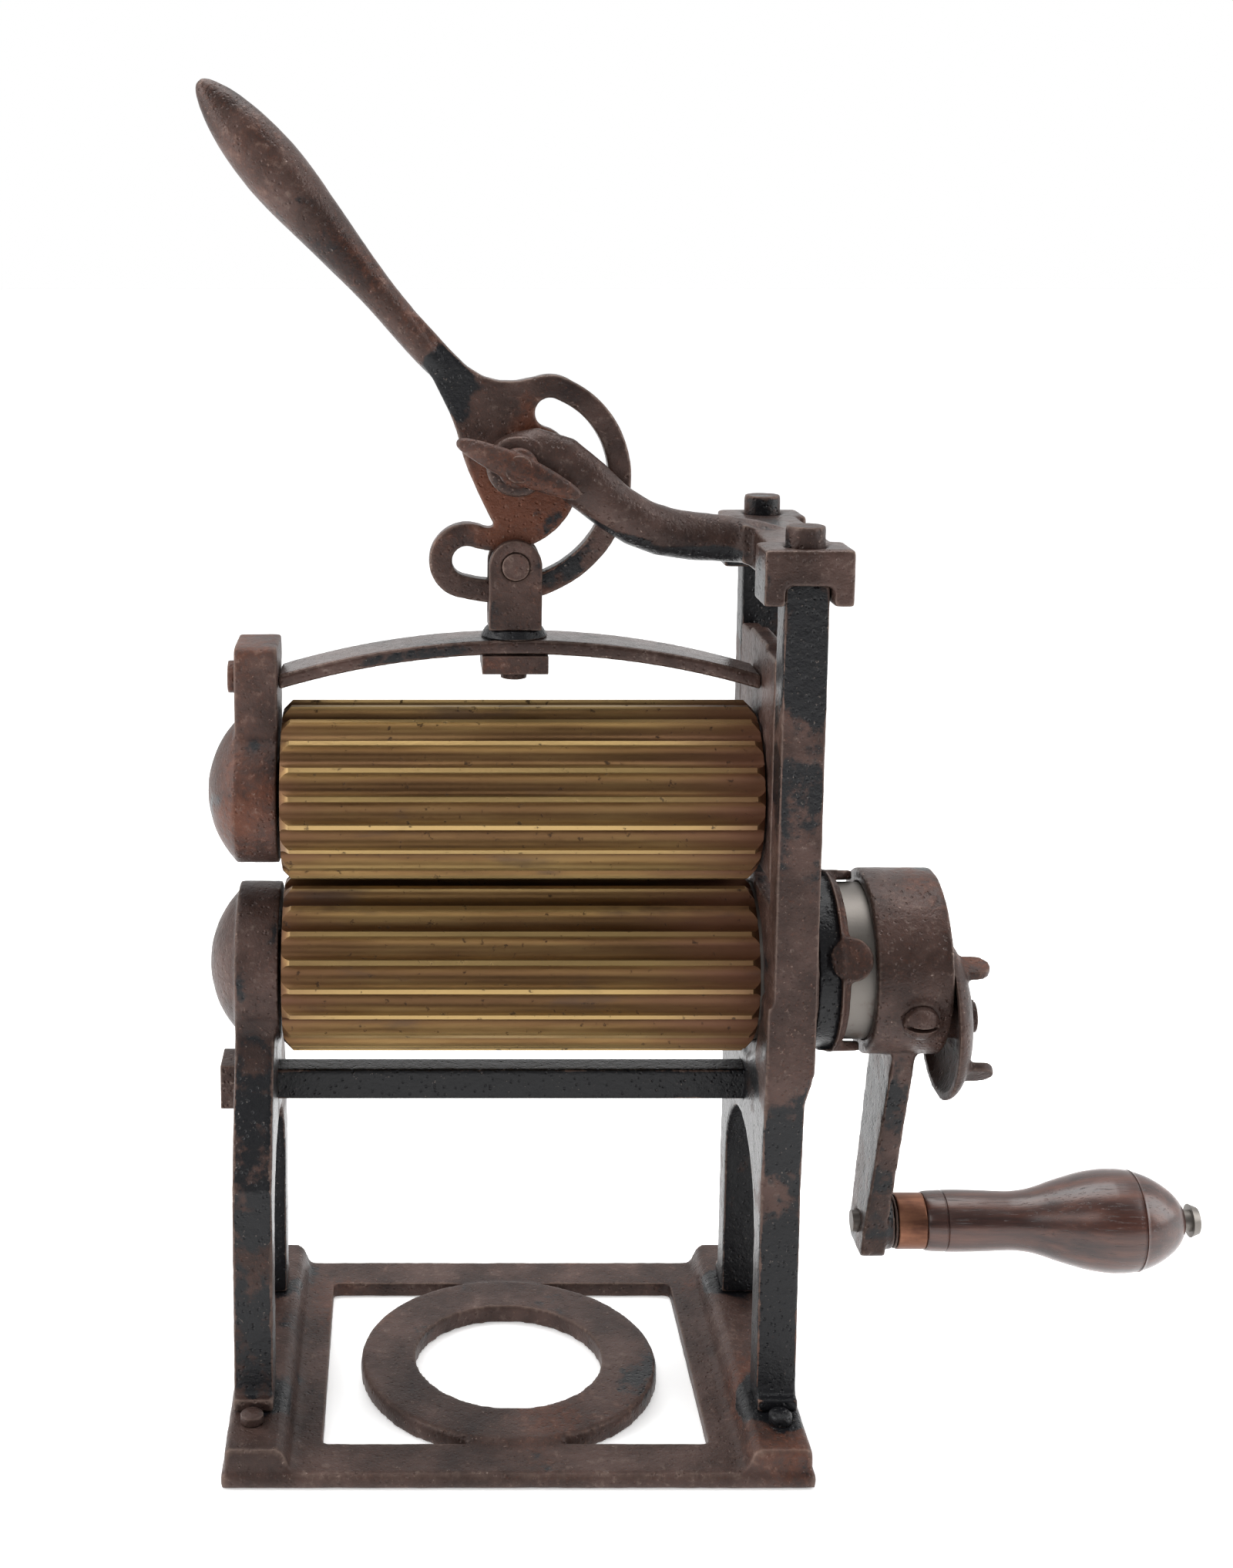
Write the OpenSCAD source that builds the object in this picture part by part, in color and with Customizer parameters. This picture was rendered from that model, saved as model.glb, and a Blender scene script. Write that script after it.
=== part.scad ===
// Hand-cranked press with two fluted brass rolls.
// X runs along the rolls, +Y to the back, +Z up. Origin: centre of the base, on its underside.

/* [Base] */
// How far the base reaches past the outer side of the legs
base_edge = 2.65; // [2:0.05:8]
// Depth of the base
base_d = 151; // [130:1:180]
// Thickness of the bottom flange that carries everything
flange_t = 4.6; // [4:0.2:8]
// Height of the frame rails and of the two windows
rail_t = 6; // [5.5:0.5:9]
// Height of the raised pads under the standards
pad_h = 14.5; // [12:0.5:20]
// Width of each raised pad
pad_w = 21.3; // [19:0.1:26]
// Width of the rail between the window and the foot of each pad
rail_w = 10.2; // [8:0.2:16]
// How far the ring reaches into the front and back rails
ring_bite = 1; // [0.5:0.1:3]
// Outside diameter of the ring in the window
ring_od = 114.5; // [113:0.5:120]
// Hole through the ring
ring_id = 71.6; // [60:0.2:80]
// Height of the ring
ring_t = 7.4; // [6:0.2:10]

/* [Rolls] */
// Diameter over the crests of the flutes
roll_d = 66.4; // [60:0.2:70]
// Length of each roll
roll_l = 173.4; // [150:0.2:190]
// Number of flutes on each roll
flutes = 20; // [16:1:22]
// Depth of each flute
flute_depth = 3.6; // [3:0.1:4.5]
// Width left at each crest
crest_w = 1.6; // [1.2:0.1:2.5]
// How far the crests reach into each other at rest
mesh_depth = 0.4; // [0.2:0.1:1.2]
// Chamfer at the ends of the flutes
roll_chamfer = 3.2; // [1:0.1:5]
// Diameter of the shaft inside each roll
core_d = 32; // [24:1:40]
// Diameter of the left journals and the upper right one
journal_d = 20; // [16:0.5:24]
// Diameter of the lower right journal, which carries the crank
spigot_d = 58; // [46:0.5:60]
// Radial running clearance of the journals
run_gap = 0.08; // [0.04:0.01:0.1]

/* [Standards] */
// Height of the lower roll's axis
axis_z = 167; // [155:1:185]
// Thickness of the upper part of each standard
std_t = 16; // [14:0.5:20]
// Thickness of the legs
leg_t = 14.8; // [12:0.2:18]
// Distance from the left standard's outer face to the middle of its legs
leg_in = 7.05; // [6:0.05:9]
// Distance between the outer faces of front and back leg
leg_spread = 94; // [84:1:110]
// Width of each leg, front to back
leg_w = 14; // [11:0.5:18]
// Gap from the roll's end to the standard on the left
end_gap_l = 1.2; // [0.8:0.1:3]
// Gap from the roll's end to the standard on the right
end_gap_r = 0.8; // [0.6:0.1:6]
// Distance between the centres of the two guide posts
post_pitch = 86; // [80:1:100]
// Thickness of each guide post, front to back
post_w = 14; // [12:0.5:18]
// Height of the shoulder on which the bridge sits, above the arched bar
post_over = 26.6; // [24:0.2:36]
// Diameter of the studs on the posts
stud_d = 14; // [10:0.5:15.5]
// Height of the studs above the shoulder
stud_h = 20; // [16:0.5:26]
// How much smaller than the rolls the domed bearing ends are, in radius
dome_in = 6.7; // [5:0.1:10]
// How far the domes stand out
dome_h = 11; // [8:0.5:14]
// Distance from the lower roll's underside down to the tie bar's middle
tie_drop = 13.8; // [9:0.2:22]
// Size of the tie bar's square section
tie_s = 11.6; // [8:0.2:14]

/* [Bridge and lever] */
// Height of the lever's pivot above the bridge's shoulder
pivot_h = 37; // [34:0.5:44]
// Diameter of the pivot bolt
pivot_d = 10; // [8:0.5:12]
// Thickness of the cam plate
plate_t = 8; // [6:0.5:10]
// Radius of the cam slot at the link pin, at rest
cam_r = 37.1; // [35:0.1:39]
// Growth of the cam slot's radius for each degree
cam_rate = 0.105; // [0.08:0.005:0.11]
// Diameter of the link pin
pin_d = 10; // [8:0.5:11]
// Width of metal beside the cam slot
cam_wall = 8.6; // [7:0.1:10]
// Width of the link and of its rounded top
link_w = 19.4; // [16:0.2:22]
// Thickness of each cheek of the link
cheek_t = 5; // [4:0.5:7]
// Height of the arched bar's middle above the upper roll
bar_over = 25.2; // [22:0.2:28]
// Rise of the arched bar from its ends to its middle
bar_rise = 13; // [8:0.5:15]
// Thickness of the arched bar
bar_t = 5.4; // [4:0.2:7]
// Depth of the arched bar, front to back
bar_w = 22; // [18:1:30]

/* [Crank] */
// Thickness of the wall of the crank's hub
hub_wall = 5.5; // [4:0.5:9]
// Length of the crank's hub
hub_l = 28; // [24:1:34]
// Distance from the shaft to the grip's axis
throw = 104.5; // [90:0.5:120]
// Thickness of the crank's arm
arm_t = 9; // [7:0.5:12]
// Diameter of the grip's spindle
spindle_d = 8; // [6:0.5:10]
// Length of the grip with its ferrule
grip_l = 116; // [95:1:130]
// Largest diameter of the grip
grip_d = 38.3; // [32:0.1:46]

/* [Hidden] */
$fn = 96;
e = 0.01;
slide_gap = 0.3;
iron = [0.22, 0.17, 0.16];
brass = [0.55, 0.43, 0.24];

roll_r = roll_d / 2;
upper_z = axis_z + roll_d - mesh_depth;
roll_x0 = -roll_l / 2 + 1.9;
roll_x1 = roll_x0 + roll_l;
pitch_a = 360 / flutes;
root_gap = roll_r * 3.14159 / flutes * 2 - crest_w;
groove_r = (root_gap * root_gap / 4 + flute_depth * flute_depth) / (2 * flute_depth);

left_x1 = roll_x0 - end_gap_l;
left_x0 = left_x1 - std_t;
right_x0 = roll_x1 + end_gap_r;
right_x1 = right_x0 + std_t;
leg_x = -left_x0 - leg_in;
base_w = 2 * (leg_x + leg_t / 2 + base_edge);
window_w = base_w - 2 * (pad_w + 4 + rail_w);
window_d = ring_od - 2 * ring_bite;
dome_r = roll_r - dome_in;
bar_z = upper_z + roll_r + bar_over;
post_z = bar_z + post_over;
stud_z = post_z + stud_h;
pivot_z = post_z + pivot_h;
tie_z = axis_z - roll_r - tie_drop;
hub_d = spigot_d + 2 * hub_wall;
block_half = post_pitch / 2 - post_w / 2 - slide_gap;
boss_r = dome_r + 3;
right_boss_r = spigot_d / 2 + 8;
block_z0 = axis_z + right_boss_r + 4;
nut_x = right_x1 + 4;
hub_x0 = right_x1 + 24.6;
leg_out = leg_x + leg_t / 2;
hub_x1 = hub_x0 + hub_l;
grip_z = axis_z - throw;
grip_x0 = hub_x0 + 17.4;
pin_z = pivot_z - cam_r;
slot_r = pin_d / 2 + 0.3;
cam_hw = slot_r + cam_wall;
cam_a0 = -116;
cam_a1 = 56;
handle_a = 130.35;
handle_o = [-37.8, 46.9];
eye_y1 = -plate_t / 2 - 0.5;
eye_y0 = eye_y1 - 11.5;
bar_end_z = bar_z - bar_rise;

// A solid turned about the X axis; the profile's own axis is Z
module along_x(x) { translate([x, 0, 0]) rotate([0, 90, 0]) children(); }
module cyl_x(x0, x1, r) { along_x(x0) cylinder(h = x1 - x0, r = r); }
module cyl_y(y0, y1, r) { translate([0, y0, 0]) rotate([-90, 0, 0]) cylinder(h = y1 - y0, r = r); }
module block(x0, x1, y0, y1, z0, z1) { translate([x0, y0, z0]) cube([x1 - x0, y1 - y0, z1 - z0]); }
// A plate cut from a flat outline drawn in Y and Z, from x0 to x1
module plate_yz(x0, x1) { translate([x0, 0, 0]) rotate([90, 0, 90]) linear_extrude(x1 - x0) children(); }
// A plate cut from a flat outline drawn in X and Z, from y0 to y1
module plate_xz(y0, y1) { translate([0, y1, 0]) rotate([90, 0, 0]) linear_extrude(y1 - y0) children(); }
// A square nut or head, seen along X
module square_x(x0, x1, s, y, z) { block(x0, x1, y - s / 2, y + s / 2, z - s / 2, z + s / 2); }

// Smooth curve through key points, as [place, radius] pairs
function spline(k, i, t) =
    let (a = k[max(i - 1, 0)], b = k[i], c = k[i + 1], d = k[min(i + 2, len(k) - 1)])
    0.5 * (2 * b + (c - a) * t + (2 * a - 5 * b + 4 * c - d) * t * t + (3 * b - a - 3 * c + d) * t * t * t);
function smooth(k, n) = [for (i = [0 : len(k) - 2], s = [0 : n - 1]) spline(k, i, s / n), k[len(k) - 1]];
module lathe(keys, n) {
    pts = smooth(keys, n);
    rotate_extrude() polygon(concat([[0, pts[0][0]]], [for (p = pts) [max(p[1], 0), p[0]]],
        [[0, pts[len(pts) - 1][0]]]));
}

// Base: one casting, a flat frame with two raised pads and a ring in its window
module base_frame() {
    inset = 1.2;
    color(iron) union() {
        difference() {
            union() {
                block(-base_w / 2, base_w / 2, -base_d / 2, base_d / 2, 0, flange_t);
                plate_xz(-base_d / 2 + inset, base_d / 2 - inset) base_section(inset);
            }
            block(-window_w / 2, window_w / 2, -window_d / 2, window_d / 2, -1, rail_t + 1);
        }
        rotate_extrude() polygon([[ring_id / 2, 0], [ring_od / 2, 0], [ring_od / 2, rail_t - 0.6],
            [ring_od / 2 - 1, ring_t], [ring_id / 2, ring_t]]);
    }
}
// Section across the base: rails in the middle, a pad with a sloping inner side at each end
module base_section(inset) {
    x1 = base_w / 2 - inset;
    x0 = base_w / 2 - pad_w;
    side = [[x0 - 4, rail_t], [x0 - 1, pad_h - 1.6], [x0 + 1, pad_h], [x1 - 1.5, pad_h], [x1, pad_h - 1.5],
        [x1, 1]];
    polygon(concat(side, [for (i = [len(side) - 1 : -1 : 0]) [-side[i][0], side[i][1]]]));
}

// Outline of a pair of legs, in Y and Z, with an arch between them and a foot on each
module legs_outline(top_half) {
    half = leg_spread / 2;
    arch_r = half - leg_w;
    arch_z = tie_z - 14 - arch_r;
    difference() {
        union() {
            polygon([[-half, pad_h], [half, pad_h], [half, pad_h + 30], [half - 1, axis_z - 70],
                [top_half, axis_z - 20], [top_half, axis_z], [-top_half, axis_z],
                [-top_half, axis_z - 20], [-half + 1, axis_z - 70], [-half, pad_h + 30]]);
            for (s = [-1, 1]) translate([s * (half - leg_w / 2), pad_h + 2.5])
                square([leg_w + 9, 5], center = true);
        }
        polygon([[-arch_r, 0], [arch_r, 0], [arch_r, arch_z], [-arch_r, arch_z]]);
        translate([0, arch_z]) circle(r = arch_r);
    }
}
// The bearing end: a boss with a dome cast over its outer side
module dome(z, x0) {
    r = (dome_r * dome_r + dome_h * dome_h) / (2 * dome_h);
    intersection() {
        translate([x0 - dome_h + r, 0, z]) sphere(r = r);
        translate([0, 0, z]) cyl_x(x0 - dome_h - 1, x0 + e, dome_r);
    }
}

module left_standard() {
    color(iron) difference() {
        union() {
            plate_yz(-leg_x - leg_t / 2, -leg_x + leg_t / 2) legs_outline(boss_r - 4);
            translate([0, 0, axis_z]) cyl_x(left_x0, left_x1, boss_r);
            dome(axis_z, left_x0);
        }
        translate([0, 0, axis_z]) cyl_x(left_x1 - 13, left_x1 + 1, journal_d / 2 + run_gap);
        block(-leg_x - leg_t, left_x1 + 3, -tie_s / 2, tie_s / 2, tie_z - tie_s / 2, tie_z + tie_s / 2);
    }
}

module right_standard() {
    half = post_pitch / 2 + post_w / 2;
    color(iron) difference() {
        union() {
            plate_yz(leg_x - leg_t / 2, leg_x + leg_t / 2) legs_outline(half);
            difference() {
                intersection() {
                    plate_yz(right_x0, right_x1) union() {
                        translate([-half, axis_z - 26]) square([2 * half, post_z - axis_z + 26]);
                        polygon([[-half, axis_z - 26], [half, axis_z - 26], [half - 5, axis_z - 56],
                            [-half + 5, axis_z - 56]]);
                    }
                    plate_xz(-half - 1, half + 1) polygon([[right_x0 - 1, axis_z - 57],
                        [leg_out - 0.5, axis_z - 57], [leg_out - 0.5, axis_z - 39], [right_x1, axis_z - 24],
                        [right_x1, post_z + 1], [right_x0 - 1, post_z + 1]]);
                }
                block(0, right_x1 + 1, -block_half - slide_gap, block_half + slide_gap,
                    axis_z + right_boss_r - 4, post_z + 1);
            }
            translate([0, 0, axis_z]) cyl_x(right_x0, nut_x, spigot_d / 2 + 5);
            for (s = [-1, 1]) translate([(right_x0 + right_x1) / 2, s * post_pitch / 2, post_z - e])
                cylinder(h = stud_z - post_z + e, d = stud_d);
        }
        translate([0, 0, axis_z]) cyl_x(leg_x - leg_t, nut_x + 1, spigot_d / 2 + run_gap);
        block(leg_x - leg_t, right_x1 + 1, -tie_s / 2, tie_s / 2, tie_z - tie_s / 2, tie_z + tie_s / 2);
        translate([0, 0, axis_z]) cyl_x(0, right_x0, roll_r + 2);
    }
}

// Tie bar: square in the middle, threaded where it passes the standards
module tie_bar() {
    color([0.09, 0.09, 0.1]) union() {
        block(-leg_out, leg_out, -tie_s / 2, tie_s / 2, tie_z - tie_s / 2, tie_z + tie_s / 2);
        for (x = [-leg_out - 5, leg_out - e]) translate([0, 0, tie_z]) cyl_x(x, x + 5 + e, 4);
    }
}
module tie_nuts() {
    color(iron) for (x = [-leg_out - 7, leg_out]) difference() {
        square_x(x, x + 7, 17, 0, tie_z);
        translate([0, 0, tie_z]) cyl_x(x - 1, x + 8, 4);
    }
}

// Bolts that come up through the base into the feet, with their domed heads beside the legs
module foot_bolts() {
    color(iron) for (sx = [-1, 1], sy = [-1, 1]) translate([sx * leg_x, sy * (leg_spread / 2 + 9.5), pad_h])
        intersection() {
            cylinder(h = 5, r = 4.2);
            translate([0, 0, -1.3]) sphere(r = 6);
        }
}

// Bridge over the two guide posts, with the curved arm that carries the lever
module bridge_arm() {
    cx = (right_x0 + right_x1) / 2;
    w = std_t + 15;
    y1 = post_pitch / 2 + post_w / 2 + 4;
    z1 = stud_z - 7;
    color(iron) difference() {
        union() {
            for (s = [-1, 1]) translate([0, s * (y1 - 10.5), 0])
                block(cx - w / 2, cx + w / 2, -10.5, 10.5, post_z - 7, z1);
            block(cx - w / 2 + 4, cx + w / 2 - 4, -y1 + 20, y1 - 20, post_z - 2, z1);
            plate_xz(-9, 9) intersection() {
                arm_outline(cx);
                translate([54, 0]) square([100, 500]);
            }
            plate_xz(eye_y0, eye_y1) intersection() {
                arm_outline(cx);
                translate([-20, 0]) square([84, 500]);
            }
            translate([0, 0, pivot_z]) cyl_y(eye_y0 - 1.5, eye_y1, 9.5);
        }
        for (s = [-1, 1]) {
            translate([cx, s * post_pitch / 2, post_z - 1]) cylinder(h = 40, d = stud_d + 0.3);
            mirror([0, s < 0 ? 1 : 0, 0]) block(right_x0 - 0.15, right_x1 + 0.15,
                post_pitch / 2 - post_w / 2 - 0.15, post_pitch / 2 + post_w / 2 + 10, post_z - 20, post_z);
        }
        translate([0, 0, pivot_z]) cyl_y(eye_y0 - 5, eye_y1 + 1, pivot_d / 2);
    }
}
module arm_outline(cx) {
    z = stud_z;
    k = cx / 100;
    top = smooth([[-4, pivot_z + 10.2], [5, pivot_z + 11.8], [16, pivot_z + 8.6], [27, pivot_z + 0.5],
        [40, z + 8.5], [55 * k, z + 2.5], [72 * k, z - 0.5], [92 * k, z - 7]], 5);
    low = smooth([[92 * k, z - 21], [78 * k, z - 18], [66 * k, z - 17.4], [56 * k, z - 17],
        [45, z - 13], [34, z - 6], [22, pivot_z - 11], [10, pivot_z - 9.8]], 5);
    polygon(concat(top, low));
    translate([0, pivot_z]) circle(r = 11);
}

// A dished plate turned about Z, its hollow side down, with lugs on its rim
module dish(r, hole, h, t) {
    rim = [for (i = [0 : 10]) [r * sin(90 * i / 10), h * cos(90 * i / 10)]];
    inner = [for (i = [10 : -1 : 0]) [(r - t) * sin(90 * i / 10), (h - t) * cos(90 * i / 10)]];
    difference() {
        rotate_extrude() polygon(concat(rim, inner));
        if (hole > 0) translate([0, 0, -1]) cylinder(h = h + 2, r = hole);
    }
}
// One finger lug, standing on the dish
module lug(x, h, w, t) {
    translate([x - t / 2, 0, h]) rotate([90, 0, 90]) linear_extrude(t) {
        translate([-w / 2, -min(h, 6)]) square([w, min(h, 6)]);
        circle(r = w / 2);
    }
}

module thrust_nut() {
    r = right_boss_r - 3;
    neck = 8;
    color(iron) translate([nut_x + neck, 0, axis_z]) rotate([0, 90, 0]) difference() {
        union() {
            dish(r, 0, 6.5, 3.2);
            translate([0, 0, -neck]) cylinder(h = neck + 4, r = spigot_d / 2 + 2.6);
            for (a = [-20, 70, 160, 250]) rotate([0, 0, a]) lug(r - 2.6, 3.8, 16, 3.6);
        }
        translate([0, 0, -neck - 1]) cylinder(h = 40, r = spigot_d / 2 + 0.3);
    }
}

module pivot_bolt() {
    color(iron) translate([0, 0, pivot_z]) union() {
        cyl_y(eye_y0 - 9.2, plate_t / 2 + 1, pivot_d / 2);
        cyl_y(plate_t / 2 + 0.4, plate_t / 2 + 6, 8.5);
    }
}

module wing_nut() {
    tilt = 30;
    y1 = eye_y0 - 1.9;
    color(iron) translate([0, 0, pivot_z]) rotate([0, tilt, 0]) difference() {
        union() {
            cyl_y(y1 - 8, y1, 8);
            plate_xz(y1 - 7.4, y1 - 2.6) polygon([[-24, 1], [-21, 4.6], [-8, 6.4], [8, 6.4], [21, 4.6],
                [24, 1], [21, -3], [8, -6], [-8, -6], [-21, -3]]);
        }
        cyl_y(y1 - 20, y1 + 1, pivot_d / 2 + 0.15);
    }
}

// Cam slot: a spiral about the pivot, so that the lift is even over the lever's turn
function cam_at(a) = cam_r - cam_rate * (a + 90);
function cam_point(a, off) = (cam_at(a) + off) * [cos(a), sin(a)];
module cam_stroke(hw) {
    n = 40;
    arc = [for (i = [0 : n]) cam_a0 + (cam_a1 - cam_a0) * i / n];
    polygon(concat([for (a = arc) cam_point(a, hw)], [for (i = [n : -1 : 0]) cam_point(arc[i], -hw)]));
    for (a = [cam_a0, cam_a1]) translate(cam_point(a, 0)) circle(r = hw + 0.05);
}
module cam_outline() {
    cam_stroke(cam_hw);
    polygon(concat([[0, 0]], [for (i = [0 : 20]) cam_point(-98 + (cam_a1 + 98) * i / 20, 0)]));
    polygon([[-42, 46.5], [-35, 53], [-24, 41], [-18, 35], [-12, 31.2], [-6, 29.6], [0, 29.6], [6, 30.8], [12, 31.9], [14, 18],
        [14, -20], [-7, -24], [-10, -18.5], [-13.6, -11], [-17, -3.5], [-19, 2], [-21.3, 11], [-24, 18],
        [-30, 30]]);
}
module cam_lever() {
    color(iron) translate([0, 0, pivot_z]) difference() {
        union() {
            plate_xz(-plate_t / 2, plate_t / 2) cam_outline();
            translate([handle_o[0], 0, handle_o[1]]) rotate([0, 90 - handle_a, 0])
                lathe([[-23, 3], [-14, 5.3], [0, 6], [10.6, 6.2], [21, 6.6], [31.7, 7.5], [42, 8.55],
                    [52.6, 9.6], [63, 10.7], [73.5, 11.3], [84, 10.9], [94.4, 9.7], [104.7, 7.3],
                    [112.5, 4.1], [115.6, 1.6]], 3);
        }
        plate_xz(-plate_t, plate_t) cam_stroke(slot_r);
        cyl_y(-20, 20, pivot_d / 2 + 0.1);
    }
}

// Arched bar that joins the two upper bearing blocks
module arched_bar() {
    half = (right_x0 - left_x1) / 2;
    mid = (right_x0 + left_x1) / 2;
    r = (half * half + bar_rise * bar_rise) / (2 * bar_rise);
    color(iron) difference() {
        plate_xz(-bar_w / 2, bar_w / 2) intersection() {
            difference() {
                translate([mid, bar_z - r]) circle(r = r, $fn = 360);
                translate([mid, bar_z - r - bar_t]) circle(r = r, $fn = 360);
            }
            translate([left_x1, bar_end_z - bar_t - 8]) square([2 * half, bar_rise + 20]);
        }
        translate([0, 0, bar_z - 30]) cylinder(h = 40, r = 5);
    }
}
module bar_screws() {
    z = bar_end_z - bar_t / 2;
    color(iron) for (x = [left_x0 - 3, right_x1 - 9]) translate([0, 0, z]) cyl_x(x, x + 3, 6);
}

module left_bearing_block() {
    w = 2 * 15;
    color(iron) difference() {
        union() {
            translate([0, 0, upper_z]) cyl_x(left_x0, left_x1, dome_r + 0.5);
            plate_yz(left_x0, left_x1) polygon([[-w / 2, upper_z], [w / 2, upper_z], [w / 2, bar_end_z + 9],
                [w / 2 - 2, bar_end_z + 11], [-w / 2 + 2, bar_end_z + 11], [-w / 2, bar_end_z + 9]]);
            dome(upper_z, left_x0);
        }
        translate([0, 0, upper_z]) cyl_x(left_x1 - 13, left_x1 + 1, journal_d / 2 + run_gap);
    }
}
module right_bearing_block() {
    color(iron) difference() {
        union() {
            block(right_x0, right_x1 - 9, -block_half, block_half, block_z0, bar_end_z + 11);
            block(right_x0, right_x1 - 9, -17, 17, block_z0, bar_end_z + 13);
        }
        translate([0, 0, upper_z]) cyl_x(right_x0 - 1, right_x1, journal_d / 2 + run_gap);
    }
}

module lift_link() {
    w = plate_t / 2 + 0.5;
    color(iron) difference() {
        union() {
            plate_xz(-w - cheek_t, w + cheek_t) union() {
                translate([-link_w / 2, bar_z + 3]) square([link_w, pin_z - bar_z - 3]);
                translate([0, pin_z]) circle(d = link_w);
            }
            translate([0, 0, bar_z - 16]) cylinder(h = 20, r = 5 - e);
        }
        block(-link_w, link_w, -w, w, pin_z - cam_hw - 4.2, pin_z + link_w);
        translate([0, 0, pin_z]) cyl_y(-w - cheek_t - 1, w + cheek_t + 1, pin_d / 2);
    }
}
module link_pin() {
    w = plate_t / 2 + 0.5 + cheek_t;
    color(iron) translate([0, 0, pin_z]) union() {
        cyl_y(-w - 0.6, w + 0.6, pin_d / 2);
    }
}
module link_washer() {
    color([0.12, 0.11, 0.11]) difference() {
        translate([0, 0, bar_z - 0.3]) cylinder(h = 3.3, r1 = 12.5, r2 = 10.5);
        translate([0, 0, bar_z - 1]) cylinder(h = 5, r = 5);
        block(-20, 20, -20, 20, bar_z - 5, bar_z);
    }
}
module link_nut() {
    z = bar_z - bar_t;
    color(iron) difference() {
        block(-12, 12, -12, 12, z - 7, z - 0.35);
        translate([0, 0, z - 20]) cylinder(h = 30, r = 5);
    }
}

// A roll's section: straight flutes with narrow crests, cut by round grooves
module roll(z, phase) {
    color(brass) translate([roll_x0, 0, z]) rotate([0, 90, 0]) difference() {
        intersection() {
            linear_extrude(roll_l) difference() {
                circle(r = roll_r, $fn = 180);
                for (i = [0 : flutes - 1]) rotate([0, 0, phase + i * pitch_a])
                    translate([roll_r - flute_depth + groove_r, 0]) circle(r = groove_r, $fn = 48);
            }
            union() {
                cylinder(h = roll_chamfer, r1 = roll_r - roll_chamfer, r2 = roll_r);
                translate([0, 0, roll_chamfer]) cylinder(h = roll_l - 2 * roll_chamfer, r = roll_r + 1);
                translate([0, 0, roll_l - roll_chamfer])
                    cylinder(h = roll_chamfer, r1 = roll_r, r2 = roll_r - roll_chamfer);
            }
        }
        translate([0, 0, -1]) cylinder(h = roll_l + 2, d = core_d);
    }
}
module upper_roll() { roll(upper_z, 0); }
module lower_roll() { roll(axis_z, pitch_a / 2); }
module upper_shaft() {
    color("gray") translate([0, 0, upper_z]) union() {
        cyl_x(left_x1 - 12.5, right_x1 - 10, journal_d / 2);
        cyl_x(roll_x0, roll_x1, core_d / 2);
    }
}
module lower_shaft() {
    color("gray") translate([0, 0, axis_z]) union() {
        cyl_x(left_x1 - 12.5, roll_x0 + e, journal_d / 2);
        cyl_x(roll_x0, roll_x1, core_d / 2);
        cyl_x(roll_x1, hub_x1 - 5, spigot_d / 2);
    }
}

module crank_arm() {
    y = hub_d / 2 - 16.5;
    low = grip_z;
    end_r = 10.4;
    x = hub_x0 + 3.4;
    color(iron) difference() {
        union() {
            translate([0, 0, axis_z]) cyl_x(hub_x0, hub_x1, hub_d / 2);
            intersection() {
                plate_xz(-hub_d / 2, hub_d / 2) polygon([[x + 7.6, axis_z - 24], [x + 7.6 + arm_t, axis_z - 24],
                    [x + arm_t, low], [x + arm_t, low - end_r], [x - 0.6, low - end_r], [x - 0.3, low]]);
                plate_yz(hub_x0, hub_x1) polygon([[-y, axis_z - 24], [y, axis_z - 24], [end_r + 0.8, low],
                    [end_r + 0.2, low - end_r + 2], [end_r - 1.8, low - end_r], [-end_r + 1.8, low - end_r],
                    [-end_r - 0.2, low - end_r + 2], [-end_r - 0.8, low]]);
            }
            translate([0, 0, low]) cyl_x(hub_x0 + 4, hub_x0 + 16, end_r);
            rotate_screw() cylinder(h = hub_d / 2 + 0.6, r = 8);
        }
        translate([0, 0, axis_z]) cyl_x(hub_x0 - 1, hub_x1 - 5, spigot_d / 2);
        translate([0, 0, low]) cyl_x(hub_x0 - 1, hub_x0 + 17, spindle_d / 2);
        rotate_screw() cylinder(h = hub_d, r = 3);
    }
}
// Place of the clamp screw: radial, low at the front of the hub
module rotate_screw() {
    translate([hub_x0 + hub_l * 0.57, 0, axis_z]) rotate([108, 0, 0]) children();
}
module crank_screw() {
    r = hub_d / 2 + 0.6;
    color(iron) rotate_screw() difference() {
        union() {
            translate([0, 0, spigot_d / 2 + 0.2]) cylinder(h = r - spigot_d / 2, r = 3 - e);
            translate([0, 0, r]) cylinder(h = 2.4, r = 6.6);
            translate([0, 0, r + 2.4 - e]) intersection() {
                cylinder(h = 4, r = 6.6);
                translate([0, 0, -4.4]) sphere(r = 8);
            }
        }
        translate([-8, -0.8, r + 2.8]) cube([16, 1.6, 5]);
    }
}

// Dished plate with finger lugs, screwed low on the hub's outer face
plate_y = -12;
plate_drop = 17.5;
module end_plate() {
    r = hub_d / 2 - 4;
    color(iron) translate([hub_x1 + 0.2, plate_y, axis_z - plate_drop]) rotate([0, 90, 0]) difference() {
        union() {
            dish(r, 0, 10, 3.2);
            cylinder(h = 9, r = 8);
            for (a = [75, 195, 315]) rotate([0, 0, a]) lug(r - 9, 11, 11, 3.6);
        }
        translate([0, 0, -1]) cylinder(h = 20, r = 3.2);
    }
}
module end_plate_screw() {
    color(iron) translate([hub_x1 + 0.2, plate_y, axis_z - plate_drop]) rotate([0, 90, 0]) difference() {
        union() {
            translate([0, 0, -0.2]) cylinder(h = 11, r = 3.2 - e);
            translate([0, 0, 10.2]) cylinder(h = 3, r = 6);
        }
        translate([-8, -0.7, 12]) cube([16, 1.4, 4]);
    }
}

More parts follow.
